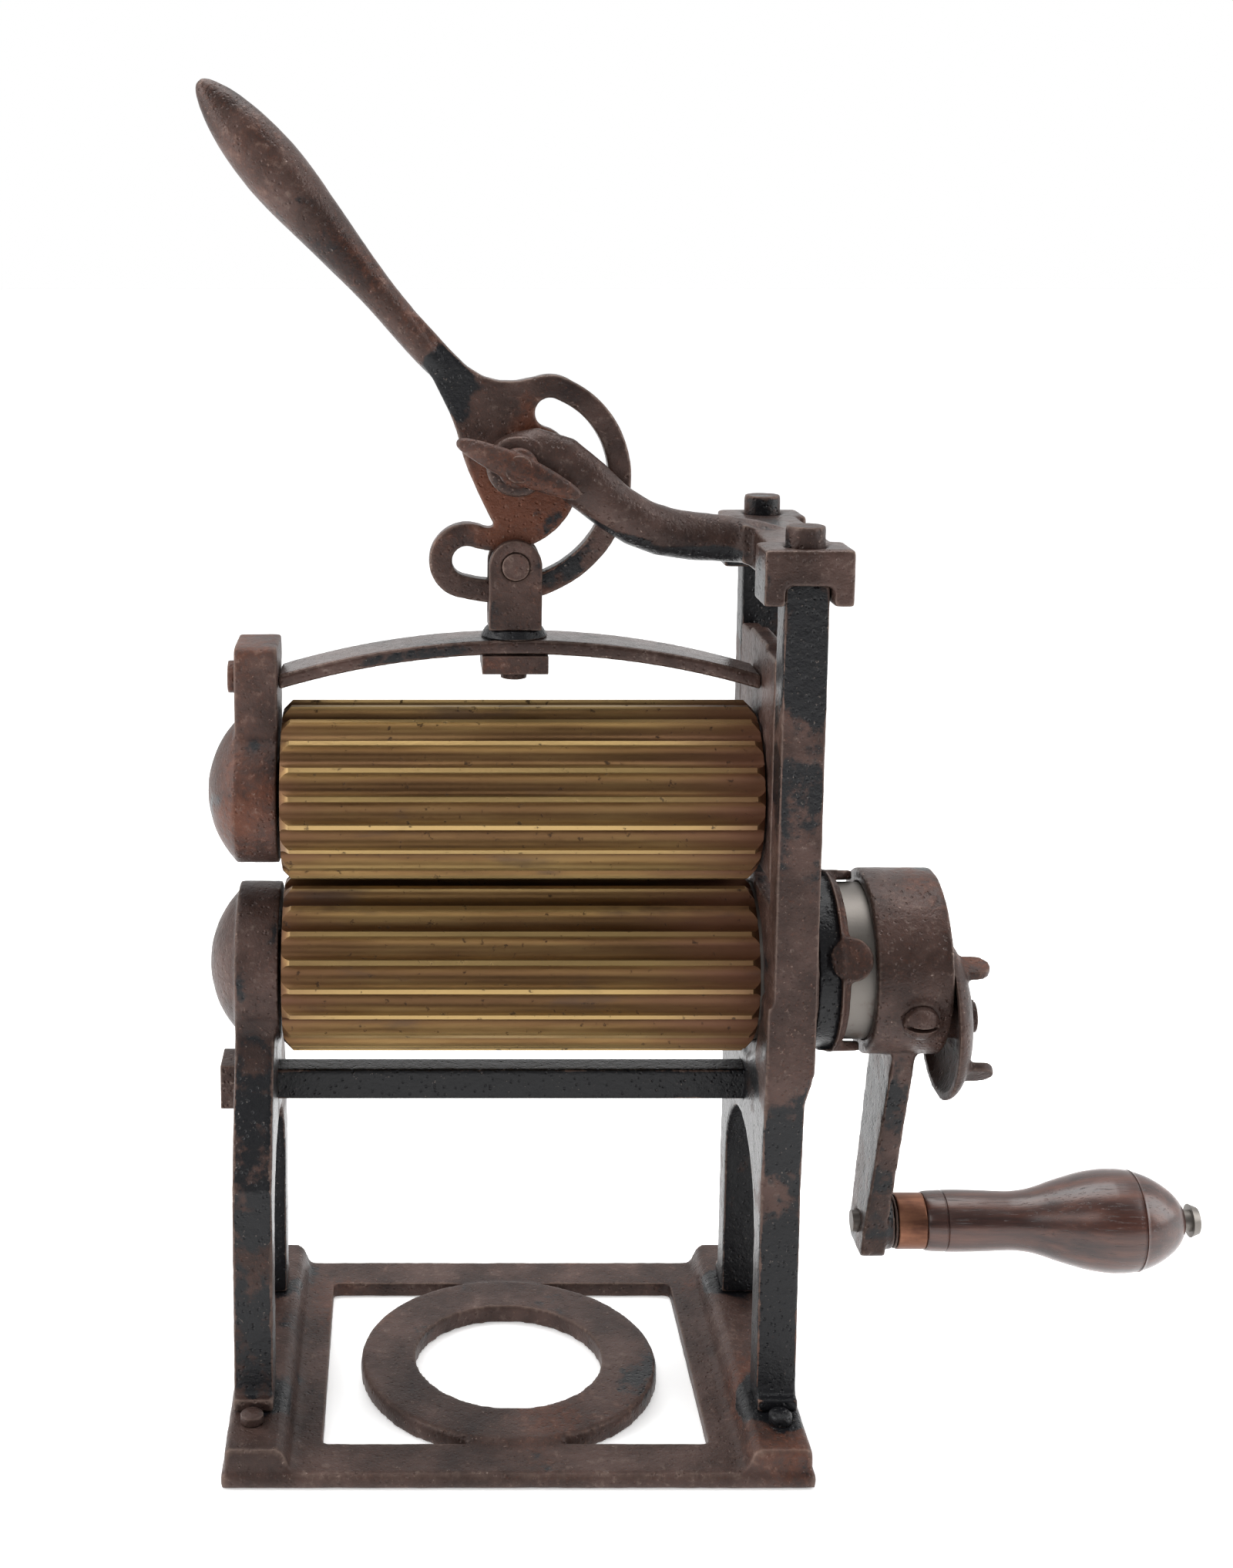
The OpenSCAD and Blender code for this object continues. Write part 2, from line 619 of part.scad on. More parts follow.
module grip_spindle() {
    color("gray") translate([0, 0, grip_z]) union() {
        cyl_x(hub_x0 + 1.2, grip_x0 + grip_l - 2, spindle_d / 2 - e);
        along_x(grip_x0 + grip_l - 2.6) cylinder(h = 3, r1 = 6.2, r2 = 5);
    }
}
module spindle_washer() {
    color(iron) translate([0, 0, grip_z]) difference() {
        cyl_x(hub_x0 + 16.2, hub_x0 + 17.1, 10);
        cyl_x(hub_x0 + 10, hub_x0 + 20, spindle_d / 2);
    }
}
module grip_ferrule() {
    color([0.55, 0.32, 0.2]) translate([0, 0, grip_z]) difference() {
        cyl_x(grip_x0, grip_x0 + 11, 10.4);
        cyl_x(grip_x0 - 1, grip_x0 + 12, 9.2);
    }
}
module grip() {
    k = grip_l - 16;
    g = grip_d / 2;
    color([0.24, 0.13, 0.1]) translate([0, 0, grip_z]) difference() {
        union() {
            cyl_x(grip_x0, grip_x0 + 11, 9.2);
            along_x(grip_x0 + 11) lathe([[0, 10.3], [1.2, 11], [10, 11.4], [20, 11.3], [28, 11], [34, 10.9],
                [40, 11.6], [45, 12.9], [50, 14.6], [56, g - 2.75], [62, g - 1.2], [69, g - 0.15], [75, g],
                [80, g - 0.55], [85, g - 2], [k - 10.5, g - 4.1], [k - 6, g - 7.1], [k - 3, g - 10], [k - 1, g - 12.9]], 3);
        }
        cyl_x(grip_x0 - 1, grip_x0 + grip_l, spindle_d / 2 + run_gap);
    }
}

base_frame();
left_standard();
right_standard();
tie_bar();
tie_nuts();
foot_bolts();
bridge_arm();
thrust_nut();
pivot_bolt();
wing_nut();
cam_lever();
arched_bar();
bar_screws();
left_bearing_block();
right_bearing_block();
lift_link();
link_pin();
link_washer();
link_nut();
upper_roll();
upper_shaft();
lower_roll();
lower_shaft();
crank_arm();
crank_screw();
end_plate();
end_plate_screw();
grip_spindle();
grip();
grip_ferrule();
spindle_washer();
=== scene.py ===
"""Looks for a hand-cranked fluting press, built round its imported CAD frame. Metres, +Z up."""

import math

import bpy
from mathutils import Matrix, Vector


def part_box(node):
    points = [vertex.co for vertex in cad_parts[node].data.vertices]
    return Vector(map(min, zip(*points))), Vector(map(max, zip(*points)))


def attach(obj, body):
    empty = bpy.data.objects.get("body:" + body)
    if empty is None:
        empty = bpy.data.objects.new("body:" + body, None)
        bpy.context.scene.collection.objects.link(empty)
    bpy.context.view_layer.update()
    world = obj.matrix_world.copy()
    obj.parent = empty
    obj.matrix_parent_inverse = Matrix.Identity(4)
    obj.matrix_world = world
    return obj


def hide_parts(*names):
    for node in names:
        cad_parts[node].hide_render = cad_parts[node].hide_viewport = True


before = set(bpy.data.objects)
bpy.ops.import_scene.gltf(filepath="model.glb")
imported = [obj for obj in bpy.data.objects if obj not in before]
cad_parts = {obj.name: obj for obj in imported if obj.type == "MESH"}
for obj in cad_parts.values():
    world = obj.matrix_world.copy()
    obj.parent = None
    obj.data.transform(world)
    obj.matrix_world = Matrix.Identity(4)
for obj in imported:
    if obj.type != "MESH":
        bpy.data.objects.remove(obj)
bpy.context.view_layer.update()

# Camera: a little above the rolls and left of the middle, looking along +Y and slightly down.
# The long lens keeps the posts upright, and the small shift frames the whole press.
camera_data = bpy.data.cameras.new("camera")
camera_data.sensor_width = 36.0
camera_data.lens = 46.12
camera_data.shift_x = 0.132
camera_data.shift_y = -0.150
camera_data.clip_start = 0.01
camera_data.clip_end = 60.0
camera = bpy.data.objects.new("camera", camera_data)
camera.location = (-0.0383, -0.7240, 0.4322)
camera.rotation_euler = (math.radians(81.44), 0.0, 0.0)
bpy.context.scene.collection.objects.link(camera)
bpy.context.scene.camera = camera
bpy.context.scene.view_settings.view_transform = "Standard"


# Bench: a plain pale sweep of painted board under the press. It is not part of the press.
# This section also holds the two small classes that every finish below is written with.
class Wire:
    """A shader socket that takes part in plain sums."""

    def __init__(self, tree, socket):
        self.tree = tree
        self.socket = socket

    def calc(self, operation, first, second=0.0, clamp=False):
        node = self.tree.nodes.new("ShaderNodeMath")
        node.operation = operation
        node.use_clamp = clamp
        for slot, value in zip(node.inputs, (first, second)):
            if isinstance(value, Wire):
                self.tree.links.new(value.socket, slot)
            else:
                slot.default_value = value
        return Wire(self.tree, node.outputs[0])

    def __add__(self, other):
        return self.calc("ADD", self, other)

    def __radd__(self, other):
        return self.calc("ADD", other, self)

    def __sub__(self, other):
        return self.calc("SUBTRACT", self, other)

    def __rsub__(self, other):
        return self.calc("SUBTRACT", other, self)

    def __mul__(self, other):
        return self.calc("MULTIPLY", self, other)

    def __rmul__(self, other):
        return self.calc("MULTIPLY", other, self)

    def __pow__(self, power):
        return self.calc("POWER", self, power)

    def clip(self):
        return self.calc("ADD", self, 0.0, clamp=True)

    def size(self):
        return self.calc("ABSOLUTE", self)


class Finish:
    """One material, with its nodes added by kind, settings and inputs."""

    def __init__(self, name):
        self.material = bpy.data.materials.new(name)
        self.material.use_nodes = True
        self.tree = self.material.node_tree
        self.shader = self.tree.nodes["Principled BSDF"]
        self.place = self.node("ShaderNodeTexCoord", output="Object")

    def node(self, kind, settings=None, inputs=None, output=0):
        made = self.tree.nodes.new(kind)
        for key, value in (settings or {}).items():
            if key == "stops":
                ramp = made.color_ramp
                while len(ramp.elements) < len(value):
                    ramp.elements.new(0.5)
                for element, (spot, colour) in zip(ramp.elements, value):
                    element.position = spot
                    element.color = (*colour, 1.0)
            else:
                setattr(made, key, value)
        for key, value in (inputs or {}).items():
            if isinstance(value, Wire):
                self.tree.links.new(value.socket, made.inputs[key])
            else:
                made.inputs[key].default_value = value
        return Wire(self.tree, made.outputs[output])

    def noise(self, scale, detail=4.0, rough=0.55, place=None):
        inputs = {"Vector": place or self.place, "Scale": scale, "Detail": detail, "Roughness": rough}
        return self.node("ShaderNodeTexNoise", {"noise_dimensions": "3D"}, inputs, "Fac")

    def spots(self, scale, place=None):
        inputs = {"Vector": place or self.place, "Scale": scale}
        return self.node("ShaderNodeTexVoronoi", {"feature": "F1"}, inputs, "Distance")

    def stretched(self, scale):
        return self.node("ShaderNodeMapping", None, {"Vector": self.place, "Scale": scale})

    def axes(self):
        parts = self.tree.nodes.new("ShaderNodeSeparateXYZ")
        self.tree.links.new(self.place.socket, parts.inputs[0])
        return [Wire(self.tree, parts.outputs[i]) for i in range(3)]

    def step(self, value, low, high):
        inputs = {"Value": value, "From Min": low, "From Max": high}
        return self.node("ShaderNodeMapRange", {"interpolation_type": "SMOOTHSTEP"}, inputs)

    def ramp(self, value, stops):
        return self.node("ShaderNodeValToRGB", {"stops": stops}, {"Fac": value})

    def mix(self, share, first, second):
        made = self.tree.nodes.new("ShaderNodeMix")
        made.data_type = "RGBA"
        for index, value in ((0, share), (6, first), (7, second)):
            if isinstance(value, Wire):
                self.tree.links.new(value.socket, made.inputs[index])
            elif index == 0:
                made.inputs[index].default_value = value
            else:
                made.inputs[index].default_value = (*value, 1.0)
        return Wire(self.tree, made.outputs[2])

    def feed(self, **values):
        for key, value in values.items():
            socket = self.shader.inputs[key.replace("_", " ")]
            if isinstance(value, Wire):
                self.tree.links.new(value.socket, socket)
            elif isinstance(value, tuple):
                socket.default_value = (*value, 1.0)
            else:
                socket.default_value = value

    def relief(self, height, depth, strength=1.0):
        inputs = {"Height": height, "Distance": depth, "Strength": strength}
        self.feed(Normal=self.node("ShaderNodeBump", None, inputs))


def only(piece):
    bpy.ops.object.select_all(action="DESELECT")
    piece.select_set(True)
    bpy.context.view_layer.objects.active = piece


board = Finish("pale_board")
board_tone = board.noise(3.0, 3.0)
board.feed(
    Base_Color=board.mix(board_tone, (0.90, 0.90, 0.90), (0.94, 0.94, 0.94)),
    Roughness=0.6,
    Emission_Color=(1.0, 1.0, 1.0),
    Emission_Strength=0.34,
)
bpy.ops.object.select_all(action="DESELECT")
bpy.ops.mesh.primitive_plane_add(size=40.0, location=(0.0, 0.0, -0.0002))
floor = bpy.context.active_object
floor.name = "floor"
floor.data.materials.append(board.material)

# Light: a white room, darker on the side the press is seen from, with a soft box on each side.
# A third box hangs above and a little behind, and a weak one stands in front.
room = bpy.data.worlds.new("white_room")
room.use_nodes = True
bpy.context.scene.world = room
room_nodes = room.node_tree.nodes
room_links = room.node_tree.links
room_back = room_nodes["Background"]
room_back.inputs["Color"].default_value = (1.0, 1.0, 1.0, 1.0)
room_way = room_nodes.new("ShaderNodeTexCoord")
room_parts = room_nodes.new("ShaderNodeSeparateXYZ")
room_links.new(room_way.outputs["Generated"], room_parts.inputs[0])
room_fade = room_nodes.new("ShaderNodeMapRange")
room_fade.inputs["From Min"].default_value = -0.75
room_fade.inputs["From Max"].default_value = 0.25
room_fade.inputs["To Min"].default_value = 0.12
room_fade.inputs["To Max"].default_value = 1.0
room_links.new(room_parts.outputs["Y"], room_fade.inputs["Value"])
room_ray = room_nodes.new("ShaderNodeLightPath")
room_strength = room_nodes.new("ShaderNodeMath")
room_strength.operation = "MAXIMUM"
room_links.new(room_fade.outputs[0], room_strength.inputs[0])
room_links.new(room_ray.outputs["Is Camera Ray"], room_strength.inputs[1])
room_links.new(room_strength.outputs[0], room_back.inputs["Strength"])


def soft_box(name, place, target, width, height, power):
    lamp = bpy.data.lights.new(name, "AREA")
    lamp.shape = "RECTANGLE"
    lamp.size = width
    lamp.size_y = height
    lamp.energy = power
    holder = bpy.data.objects.new(name, lamp)
    holder.location = place
    way = [b - a for a, b in zip(place, target)]
    flat = math.hypot(way[0], way[1])
    holder.rotation_euler = (math.atan2(flat, -way[2]), 0.0, math.atan2(-way[0], way[1]))
    bpy.context.scene.collection.objects.link(holder)


soft_box("left_box", (-1.3, -0.35, 0.75), (0.0, 0.0, 0.25), 0.9, 1.1, 17.0)
soft_box("right_box", (1.4, -0.25, 0.75), (0.0, 0.0, 0.22), 0.9, 1.1, 15.0)
soft_box("top_box", (0.0, 0.25, 1.6), (0.0, 0.0, 0.25), 1.4, 1.0, 20.0)
soft_box("front_box", (-0.35, -1.7, 1.3), (0.0, 0.0, 0.2), 0.9, 0.7, 5.0)


# Base frame: one grey-iron casting with two raised pads and a ring in its window.
# Sand-cast and left rough, it has gone brown, with black paint left round the feet.
def apply_modifier(piece, kind, **settings):
    made = piece.modifiers.new(kind.lower(), kind)
    for key, value in settings.items():
        setattr(made, key, value)
    only(piece)
    bpy.ops.object.modifier_apply(modifier=made.name)


def round_off(piece, voxel, passes, sand=0.0):
    """Closes a piece into one skin, rounds its edges and leaves the sand's unevenness on it."""
    apply_modifier(piece, "REMESH", mode="VOXEL", voxel_size=voxel)
    apply_modifier(piece, "SMOOTH", factor=0.5, iterations=passes)
    if sand > 0.0:
        grain = bpy.data.textures.new(piece.name + "_sand", "CLOUDS")
        grain.noise_scale = 0.006
        grain.noise_depth = 3
        apply_modifier(
            piece, "DISPLACE", texture=grain, texture_coords="LOCAL", strength=sand, mid_level=1.0
        )
    only(piece)
    bpy.ops.object.shade_smooth()


def copy_node(node, name):
    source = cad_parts[node]
    piece = bpy.data.objects.new(name, source.data.copy())
    piece.data.materials.clear()
    bpy.context.scene.collection.objects.link(piece)
    only(piece)
    bpy.ops.object.mode_set(mode="EDIT")
    bpy.ops.mesh.select_all(action="SELECT")
    bpy.ops.mesh.remove_doubles(threshold=0.00001)
    bpy.ops.object.mode_set(mode="OBJECT")
    return piece


def fit(piece, body, slot, finish, *nodes):
    """Gives a finished piece its material, puts it on its body and hides the CAD nodes it stands for.
    """
    piece.data.materials.clear()
    piece.data.materials.append(finish.material)
    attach(piece, body)
    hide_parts(*nodes)
    return piece


def casting(node, body, slot, finish, voxel, passes, sand=0.0):
    piece = copy_node(node, node + "_made")
    round_off(piece, voxel, passes, sand)
    return fit(piece, body, slot, finish, node)


rust_red = (0.120, 0.036, 0.016)
pale_dust = (0.17, 0.125, 0.105)
sunk_dirt = (0.010, 0.006, 0.005)
rubbed_edge = (0.16, 0.115, 0.095)
# Old japan black. The thrust nut's hollow also takes this colour, and there it is painted shade.
japan_black_and_shade = (0.0070, 0.0072, 0.0085)
sand_glint = (0.30, 0.25, 0.22)
pit_scale = 420.0
skin_depth = 0.0011


def patina(name, black, rust, black_and_shade_where=None, gloss=0.0, red_where=None, skin=1.0):
    """Brown oxidised iron. black is the share of old japan left, rust the share of red.

    The two place functions add to those shares by place, black first and red second, gloss
    smooths the surface, and skin is the strength of the sandy cast skin. Black that a place
    function adds inside a hollow is painted shade, not japan.
    """
    iron = Finish(name)
    cloud = iron.noise(38.0, 7.0, 0.62)
    broad = iron.noise(14.0, 3.0, 0.5)
    grit = iron.noise(850.0, 4.0, 0.65)
    speck = iron.noise(320.0, 4.0, 0.65)
    edge = iron.node("ShaderNodeNewGeometry", output="Pointiness")
    worn = iron.step(edge + (speck - 0.5) * 0.05, 0.515, 0.56)
    sunk = 1.0 - iron.step(edge, 0.44, 0.495)
    brown = iron.ramp(
        cloud,
        [(0.28, (0.016, 0.009, 0.008)), (0.45, (0.037, 0.021, 0.017)), (0.62, (0.070, 0.041, 0.034))],
    )
    red = broad + (speck - 0.5) * 0.35
    if red_where is not None:
        red = red + red_where(iron)
    red_share = iron.step(red, 0.66 - 0.3 * rust, 0.80 - 0.2 * rust)
    red_speck = iron.step(grit + (broad - 0.5) * 0.3, 0.54, 0.64) * min(rust, 0.6)
    brown = iron.mix((red_share * 0.62 + red_speck * 0.5).clip(), brown, rust_red)
    dust = iron.step(speck + (cloud - 0.5) * 0.5, 0.56, 0.74)
    brown = iron.mix(dust * 0.35, brown, pale_dust)
    brown = iron.mix(sunk * 0.6, brown, sunk_dirt)
    paint_and_shade = iron.noise(27.0, 6.0, 0.6)
    # Painted shade: a place function can add black here for a hollow that only lies in shadow, so
    # this black is japan in some places and painted shade in others.
    if black_and_shade_where is not None:
        paint_and_shade = paint_and_shade + black_and_shade_where(iron)
    paint_and_shade = paint_and_shade + (speck - 0.5) * 0.16 - worn * 0.22
    left = iron.step(paint_and_shade, 0.64 - 0.36 * black, 0.71 - 0.36 * black)
    colour = iron.mix(worn * 0.55, brown, rubbed_edge)
    colour = iron.mix(left, colour, japan_black_and_shade)
    glint = iron.step(grit + (speck - 0.5) * 0.4, 0.66, 0.72)
    colour = iron.mix(glint * 0.35, colour, sand_glint)
    rough = 0.46 - gloss + (speck - 0.5) * 0.35 - glint * 0.18
    rough = rough - left * (rough - 0.27) * 0.9
    iron.feed(
        Base_Color=colour,
        Roughness=rough.clip(),
        Metallic=(worn * 0.35 + 0.22 + glint * 0.4 - left * 0.20).clip(),
        Specular_IOR_Level=0.24,
    )
    pits = 1.0 - iron.step(iron.spots(pit_scale), 0.08, 0.30)
    height = cloud * 0.30 + (speck * 0.42 + grit * 0.20 - pits * 0.28) * skin - left * 0.10
    iron.relief(height, skin_depth, 0.9)
    return iron


foot_x = 0.095
foot_y = 0.043


def near_feet(finish):
    x, y, z = finish.axes()
    away = (x.size() - foot_x).size() + (y.size() - foot_y).size()
    reach = 1.0 - finish.step(away, 0.010, 0.030)
    return reach * 0.24 * finish.step(z, 0.008, 0.013)


base_iron = patina("base_iron", 0.10, 0.25, near_feet)
casting("base_frame", "stand", "cast_iron", base_iron, 0.0012, 5, 0.0003)


# Standards: two cast frames with arched legs. Each is bolted down through its feet.
# The legs keep most of their black japan, and the bearing ends are bare and brown.
def low_down(finish):
    z = finish.axes()[2]
    return (1.0 - finish.step(z, 0.110, 0.185)) * 0.16


def on_posts(finish):
    z = finish.axes()[2]
    legs = 1.0 - finish.step(z, 0.100, 0.150)
    post = finish.step(z, 0.195, 0.235) * (1.0 - finish.step(z, 0.310, 0.335))
    return legs * 0.17 + post * 0.10


left_iron = patina("left_frame_iron", 0.28, 0.35, low_down)
right_iron = patina("right_frame_iron", 0.34, 0.45, on_posts)
casting("left_standard", "stand", "black_iron", left_iron, 0.001, 6, 0.0003)
casting("right_standard", "stand", "black_iron", right_iron, 0.001, 6, 0.0003)

# Tie bar, its nuts and the foot bolts: wrought bar, squared in the middle, black japanned.
# The nuts pull the two standards against the bar, and the bolts come up through the base.
black_bar = patina("black_bar", 0.95, 0.1)
bolt_iron = patina("bolt_iron", 0.30, 0.4)
black_bolt = patina("black_bolt", 0.7, 0.2)
casting("tie_bar", "stand", "black_iron", black_bar, 0.0009, 4)
casting("tie_nuts", "stand", "cast_iron", bolt_iron, 0.0006, 3)
casting("foot_bolts", "stand", "black_iron", black_bolt, 0.0005, 3)

# Bearing blocks: the left one has a domed end like the standard's, the right one slides
# between the two posts. The arched bar joins them, held by a screw at each end.
block_iron = patina("block_iron", 0.16, 0.28)
bar_iron = patina("bar_iron", 0.22, 0.2, gloss=0.24, skin=0.35)
casting("left_bearing_block", "carriage", "cast_iron", block_iron, 0.0009, 6, 0.0003)
casting("right_bearing_block", "carriage", "cast_iron", block_iron, 0.0009, 4, 0.0002)
casting("arched_bar", "carriage", "cast_iron", bar_iron, 0.0007, 5, 0.0001)
casting("bar_screws", "carriage", "cast_iron", bolt_iron, 0.0005, 2)


# Rolls: cast and planed brass, twenty flutes each, dull with age. Crests are rubbed bright,
# and their colour is lightened further as a painted highlight. Grooves hold brown dirt, and
# the ends have gone red. Each turns on a steel shaft.
groove_radius = 0.0294
flank_radius = 0.0316
crest_radius = 0.0330
groove_dirt = (0.070, 0.033, 0.014)
rubbed_and_highlit_crest = (0.43, 0.30, 0.125)
red_end = (0.110, 0.036, 0.020)
dark_smear = (0.040, 0.019, 0.011)
dark_dot = (0.035, 0.022, 0.014)


def old_brass(name, axis_height):
    brass = Finish(name)
    x, y, z = brass.axes()
    up = z - axis_height
    radius = (y * y + up * up) ** 0.5
    crest = brass.step(radius, flank_radius, crest_radius)
    flank = brass.step(radius, groove_radius, flank_radius)
    streak = brass.noise(1.0, 5.0, 0.6, brass.stretched((14.0, 190.0, 190.0)))
    smear = brass.noise(1.0, 4.0, 0.55, brass.stretched((22.0, 60.0, 60.0)))
    speck = brass.noise(700.0, 3.0, 0.6)
    colour = brass.ramp(
        streak,
        [(0.30, (0.100, 0.052, 0.020)), (0.50, (0.185, 0.103, 0.038)), (0.70, (0.285, 0.180, 0.068))],
    )
    colour = brass.mix((1.0 - flank) * 0.62, colour, groove_dirt)
    # Crest band: lighter for rubbed brass, and partly a painted highlight.
    colour = brass.mix(crest * 0.62, colour, rubbed_and_highlit_crest)
    ends = brass.step((x + 0.012).size() + (smear - 0.5) * 0.06, 0.046, 0.100)
    colour = brass.mix(ends * 0.66, colour, red_end)
    dark = brass.step(smear, 0.60, 0.74)
    colour = brass.mix((dark * 0.5 + ends * dark * 0.35).clip(), colour, dark_smear)
    dots = brass.step(brass.noise(300.0, 4.0, 0.65), 0.62, 0.70)
    colour = brass.mix(dots * 0.7, colour, dark_dot)
    rough = 0.40 + (streak - 0.5) * 0.25 + dots * 0.2 + ends * 0.10 - crest * 0.08
    shine = 0.80 - ends * 0.25 - dark * 0.25
    brass.feed(Base_Color=colour, Roughness=rough.clip(), Metallic=shine.clip())
    brass.relief(streak * 0.4 + speck * 0.25 - dots * 0.4, 0.0003, 0.7)
    return brass


def dress(node, finish):
    """Gives a CAD node that stays its own material."""
    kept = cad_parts[node]
    kept.data.materials.clear()
    kept.data.materials.append(finish.material)


steel = Finish("dull_steel")
steel_tone = steel.noise(60.0, 5.0)
steel_fine = steel.noise(900.0, 3.0)
steel_brown = steel.step(steel_tone + (steel_fine - 0.5) * 0.2, 0.52, 0.70)
steel.feed(
    Base_Color=steel.mix(steel_brown * 0.7, (0.170, 0.155, 0.140), (0.095, 0.060, 0.042)),
    Roughness=(0.36 + steel_tone * 0.2).clip(),
    Metallic=0.70,
)
steel.relief(steel_tone * 0.4 + steel_fine * 0.3, 0.0002, 0.5)

upper_low, upper_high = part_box("upper_roll")
lower_low, lower_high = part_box("lower_roll")
dress("upper_roll", old_brass("upper_brass", (upper_low[2] + upper_high[2]) / 2))
dress("lower_roll", old_brass("lower_brass", (lower_low[2] + lower_high[2]) / 2))
dress("upper_shaft", steel)
dress("lower_shaft", steel)

# Bridge: a cast cap that sits on the two studs, with a curved arm reaching out to the pivot.
# The arm is oval in section and swells at its eye, where the lever's bolt goes through.
# Each station is the middle of the arm (x, y, z), half its height, and its width to height.
cap_cut = 0.0812
arm_stations = [
    (-0.0030, -0.0105, 0.3566, 0.0100, 0.60),
    (0.0080, -0.0105, 0.3578, 0.0110, 0.58),
    (0.0170, -0.0105, 0.3546, 0.0106, 0.62),
    (0.0260, -0.0105, 0.3474, 0.0098, 0.70),
    (0.0340, -0.0100, 0.3404, 0.0092, 0.76),
    (0.0440, -0.0085, 0.3340, 0.0092, 0.78),
    (0.0540, -0.0055, 0.3302, 0.0092, 0.80),
    (0.0645, -0.0025, 0.3283, 0.0090, 0.82),
    (0.0760, -0.0005, 0.3272, 0.0087, 0.84),
    (0.0877, 0.0000, 0.3258, 0.0082, 0.84),
    (0.0955, 0.0000, 0.3240, 0.0078, 0.84),
]


facing_x = (0.0, math.pi / 2, 0.0)
facing_y = (math.pi / 2, 0.0, 0.0)


def swept_arm(name, stations):
    """An oval bar that follows the stations: one ring, extruded, turned and resized at each."""
    first = stations[0]
    bpy.ops.object.select_all(action="DESELECT")
    bpy.ops.mesh.primitive_circle_add(
        vertices=32, radius=first[3], fill_type="NGON", location=first[:3], rotation=facing_x
    )
    bpy.ops.object.transform_apply(location=True, rotation=True, scale=True)
    piece = bpy.context.active_object
    piece.name = name
    bpy.ops.object.mode_set(mode="EDIT")
    bpy.ops.mesh.select_all(action="SELECT")
    bpy.ops.transform.resize(value=(1.0, first[4], 1.0), center_override=first[:3])
    slope = 0.0
    for last, here in zip(stations, stations[1:]):
        move = tuple(b - a for a, b in zip(last[:3], here[:3]))
        turned = math.atan2(move[2], move[0])
        bpy.ops.mesh.extrude_region_move(TRANSFORM_OT_translate={"value": move})
        bpy.ops.transform.rotate(value=turned - slope, orient_axis="Y", center_override=here[:3])
        grow = here[3] / last[3]
        widen = grow * here[4] / last[4]
        bpy.ops.transform.resize(value=(grow, widen, grow), center_override=here[:3])
        slope = turned
    bpy.ops.mesh.select_all(action="SELECT")
    bpy.ops.mesh.normals_make_consistent(inside=False)
    bpy.ops.object.mode_set(mode="OBJECT")
    return piece


def bevelled_disc(name, place, radius, depth, axis_turn, bevel):
    """A short round with its two rims bevelled."""
    bpy.ops.object.select_all(action="DESELECT")
    bpy.ops.mesh.primitive_cylinder_add(
        vertices=48, radius=radius, depth=depth, location=place, rotation=axis_turn
    )
    bpy.ops.object.transform_apply(location=True, rotation=True, scale=True)
    piece = bpy.context.active_object
    piece.name = name
    apply_modifier(piece, "BEVEL", width=bevel, segments=3, limit_method="ANGLE", angle_limit=1.0)
    return piece


def join(name, *parts):
    bpy.ops.object.select_all(action="DESELECT")
    for part in parts:
        part.select_set(True)
    bpy.context.view_layer.objects.active = parts[0]
    bpy.ops.object.join()
    parts[0].name = name
    return parts[0]


cap = copy_node("bridge_arm", "cap")
bpy.ops.object.mode_set(mode="EDIT")
bpy.ops.mesh.select_all(action="SELECT")
bpy.ops.mesh.bisect(
    plane_co=(cap_cut, 0.0, 0.0), plane_no=(1.0, 0.0, 0.0), use_fill=True, clear_inner=True
)
bpy.ops.object.mode_set(mode="OBJECT")
arm = swept_arm("arm", arm_stations)
pivot_height = 0.355
eye_middle = (0.0, -0.01075, pivot_height)
eye = bevelled_disc("eye", eye_middle, 0.0112, 0.0126, facing_y, 0.0012)
bridge = join("bridge_made", cap, arm, eye)
round_off(bridge, 0.0009, 12, 0.0002)


def under_arm(finish):
    x, y, z = finish.axes()
    middle = 0.3275 + (0.075 - x).size() ** 2.0 * 4.6
    below = 1.0 - finish.step(z - middle, -0.0060, 0.0010)
    along = finish.step(x, 0.018, 0.030) * (1.0 - finish.step(x, 0.076, 0.086))
    return below * along * 0.34 - 0.10


bridge_iron = patina("bridge_iron", 0.34, 0.25, under_arm, 0.12)
fit(bridge, "stand", "cast_iron", bridge_iron, "bridge_arm")


# Lever and its pivot bolt: one malleable casting, a flat cam plate that runs into a
# turned-looking handle. The slot in the plate drives the link pin up and down.
def at_root(finish):
    x, y, z = finish.axes()
    off = (x + 0.026).size() + (z - 0.383).size()
    return (1.0 - finish.step(off, 0.003, 0.026)) * 0.26 - 0.03


def at_plate(finish):
    x, y, z = finish.axes()
    off = (x - 0.004).size() + (z - 0.343).size() * 0.7
    return (1.0 - finish.step(off, 0.008, 0.040)) * 0.34


lever_iron = patina("lever_iron", 0.26, 0.35, at_root, 0.12, at_plate)
casting("cam_lever", "lever", "cast_iron", lever_iron, 0.0009, 5, 0.0002)
casting("pivot_bolt", "stand", "cast_iron", bolt_iron, 0.0006, 3)

# Wing nut: a small casting, one slender pointed blade across a round hub, set aslant.
# It clamps the lever's bolt against the bridge.
nut_low, nut_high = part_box("wing_nut")
nut_tilt = math.radians(24.0)
nut_front = nut_low[1]
nut_depth = nut_high[1] - nut_front
blade_middle = (0.0, nut_front + 0.0031, 0.0)
hub_middle = (0.0, nut_front + nut_depth / 2 + 0.0016, 0.0)
hub_radius = 0.0072
hub_depth = nut_depth - 0.0034
bpy.ops.object.select_all(action="DESELECT")
bpy.ops.mesh.primitive_cube_add(size=1.0, location=blade_middle, scale=(0.010, 0.0060, 0.0112))
bpy.ops.object.transform_apply(location=True, rotation=True, scale=True)
wings = bpy.context.active_object
wings.name = "wings"
wing_steps = ((0.0050, 0.90), (0.0060, 0.80), (0.0050, 0.74), (0.0032, 0.50))
